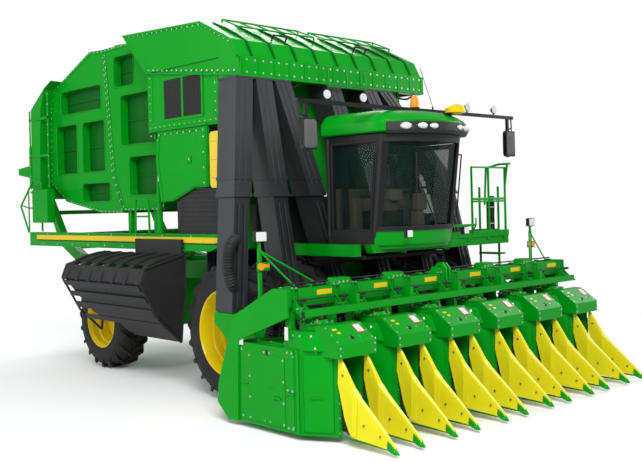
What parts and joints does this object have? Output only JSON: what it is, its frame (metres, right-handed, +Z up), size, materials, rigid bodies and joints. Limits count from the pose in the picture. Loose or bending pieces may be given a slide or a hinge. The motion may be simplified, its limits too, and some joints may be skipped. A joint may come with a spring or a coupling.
{
  "type": "cotton picker",
  "caption": "Self-propelled cotton picker with a row-unit header, air ducts, cab, accumulator, round-module chamber and rear module handler.",
  "frame": {"origin": "ground level, at the middle of the whole width and length of the parked machine", "axes": "+Z up, -Y forward towards the stalk lifters, +X to the machine's left"},
  "size_m": [5.7456, 10.9, 5.585],
  "materials": {
    "green_paint": "gloss enamel",
    "yellow_paint": "gloss enamel",
    "black_paint": "satin",
    "duct_grey": "satin",
    "black_plastic": "matte",
    "cast_grey": "as cast",
    "tyre_rubber": "matte",
    "hose_rubber": "matte",
    "yellow_poly": "moulded",
    "seat_fabric": "woven",
    "bright_steel": "zinc plated",
    "brass_fitting": "plain",
    "clear_glass": "clear, green tint",
    "lamp_lens": "clear",
    "amber_lens": "clear",
    "mirror_glass": "polished",
    "tan_plastic": "grained"
  },
  "bodies": {
    "root": {"accumulator_body": "green_paint", "accumulator_hood": "green_paint", "boarding_ladder": "green_paint", "cab_roof": "green_paint", "cab_shell": "black_paint", "chassis_frame": "green_paint", "engine_block": "cast_grey", "front_axle": "green_paint", "intake_hood": "black_plastic", "mirror_bar": "black_paint", "module_chamber": "green_paint", "platform_deck": "green_paint", "platform_handrail": "green_paint", "rear_axle": "green_paint", "seat_back": "seat_fabric", "seat_cushion": "seat_fabric", "seat_pedestal": "black_plastic", "service_panel": "green_paint", "side_tank_left": "black_plastic", "side_tank_right": "black_plastic", "steering_column": "black_plastic", "upper_ducts_left": "duct_grey", "upper_ducts_right": "duct_grey", "water_tank": "yellow_poly"},
    "front_wheels_right": {"front_rim_right": "yellow_paint", "front_tyre_right_inner": "tyre_rubber", "front_tyre_right_outer": "tyre_rubber"},
    "rear_knuckle_right": {"rear_knuckle_right": "green_paint"},
    "rear_wheel_right": {"rear_rim_right": "yellow_paint", "rear_tyre_right": "tyre_rubber"},
    "front_wheels_left": {"front_rim_left": "yellow_paint", "front_tyre_left_inner": "tyre_rubber", "front_tyre_left_outer": "tyre_rubber"},
    "rear_knuckle_left": {"rear_knuckle_left": "green_paint"},
    "rear_wheel_left": {"rear_rim_left": "yellow_paint", "rear_tyre_left": "tyre_rubber"},
    "header": {"header_toolbar": "green_paint", "row_unit_1": "green_paint", "row_unit_2": "green_paint", "row_unit_3": "green_paint", "row_unit_4": "green_paint", "row_unit_5": "green_paint", "row_unit_6": "green_paint", "stalk_lifters_1": "yellow_paint", "stalk_lifters_2": "yellow_paint", "stalk_lifters_3": "yellow_paint", "stalk_lifters_4": "yellow_paint", "stalk_lifters_5": "yellow_paint", "stalk_lifters_6": "yellow_paint"},
    "lower_duct_1": {"lower_duct_1": "duct_grey"},
    "lower_duct_2": {"lower_duct_2": "duct_grey"},
    "lower_duct_3": {"lower_duct_3": "duct_grey"},
    "lower_duct_4": {"lower_duct_4": "duct_grey"},
    "lower_duct_5": {"lower_duct_5": "duct_grey"},
    "lower_duct_6": {"lower_duct_6": "duct_grey"},
    "cab_door": {"cab_door": "black_paint"},
    "chamber_gate": {"chamber_gate": "green_paint", "wrap_housing": "green_paint"},
    "module_handler": {"module_handler": "green_paint"}
  },
  "joints": [
    {"name": "front_wheels_right_spin", "type": "hinge", "parent": "root", "child": "front_wheels_right", "pos_m": [-0.965, -1.86, 0.95], "axis": [1, 0, 0], "continuous": true},
    {"name": "front_wheels_left_spin", "type": "hinge", "parent": "root", "child": "front_wheels_left", "pos_m": [0.965, -1.86, 0.95], "axis": [1, 0, 0], "continuous": true},
    {"name": "rear_steer_right", "type": "hinge", "parent": "root", "child": "rear_knuckle_right", "pos_m": [-1.34, 1.96, 0.8], "axis": [0, 0, 1], "range_deg": [-30, 30]},
    {"name": "rear_wheel_right_spin", "type": "hinge", "parent": "rear_knuckle_right", "child": "rear_wheel_right", "pos_m": [-1.71, 1.96, 0.8], "axis": [1, 0, 0], "continuous": true},
    {"name": "rear_steer_left", "type": "hinge", "parent": "root", "child": "rear_knuckle_left", "pos_m": [1.34, 1.96, 0.8], "axis": [0, 0, 1], "range_deg": [-30, 30]},
    {"name": "rear_wheel_left_spin", "type": "hinge", "parent": "rear_knuckle_left", "child": "rear_wheel_left", "pos_m": [1.71, 1.96, 0.8], "axis": [1, 0, 0], "continuous": true},
    {"name": "header_lift", "type": "hinge", "parent": "root", "child": "header", "pos_m": [0, -2.18, 1.28], "axis": [-1, 0, 0], "range_deg": [0, 8]},
    {"name": "lower_duct_1_slide", "type": "slide", "parent": "root", "child": "lower_duct_1", "axis": [0.1792, 0.1639, 0.9701], "range_m": [0, 0.06]},
    {"name": "lower_duct_2_slide", "type": "slide", "parent": "root", "child": "lower_duct_2", "axis": [-0.0155, 0.1666, 0.9859], "range_m": [0, 0.06]},
    {"name": "lower_duct_3_slide", "type": "slide", "parent": "root", "child": "lower_duct_3", "axis": [-0.1872, 0.1637, 0.9686], "range_m": [0, 0.06]},
    {"name": "lower_duct_4_slide", "type": "slide", "parent": "root", "child": "lower_duct_4", "axis": [-0.1952, 0.1634, 0.967], "range_m": [0, 0.06]},
    {"name": "lower_duct_5_slide", "type": "slide", "parent": "root", "child": "lower_duct_5", "axis": [-0.1164, 0.1655, 0.9793], "range_m": [0, 0.06]},
    {"name": "lower_duct_6_slide", "type": "slide", "parent": "root", "child": "lower_duct_6", "axis": [-0.1081, 0.1657, 0.9802], "range_m": [0, 0.06]},
    {"name": "cab_door_hinge", "type": "hinge", "parent": "root", "child": "cab_door", "pos_m": [0.885, -2.665, 2.86], "axis": [0, 0, 1], "range_deg": [0, 75]},
    {"name": "chamber_gate_hinge", "type": "hinge", "parent": "root", "child": "chamber_gate", "pos_m": [0, 2.285, 5.53], "axis": [1, 0, 0], "range_deg": [0, 60]},
    {"name": "module_handler_hinge", "type": "hinge", "parent": "root", "child": "module_handler", "pos_m": [0, 3.09, 1.6], "axis": [-1, 0, 0], "range_deg": [0, 25]}
  ],
  "couplings": [
    {"joint": "rear_steer_left", "follows": "rear_steer_right", "ratio": 1},
    {"joint": "lower_duct_1_slide", "follows": "header_lift", "m_per_rad": 0.4},
    {"joint": "lower_duct_2_slide", "follows": "header_lift", "m_per_rad": 0.4},
    {"joint": "lower_duct_3_slide", "follows": "header_lift", "m_per_rad": 0.4},
    {"joint": "lower_duct_4_slide", "follows": "header_lift", "m_per_rad": 0.4},
    {"joint": "lower_duct_5_slide", "follows": "header_lift", "m_per_rad": 0.4},
    {"joint": "lower_duct_6_slide", "follows": "header_lift", "m_per_rad": 0.4}
  ]
}
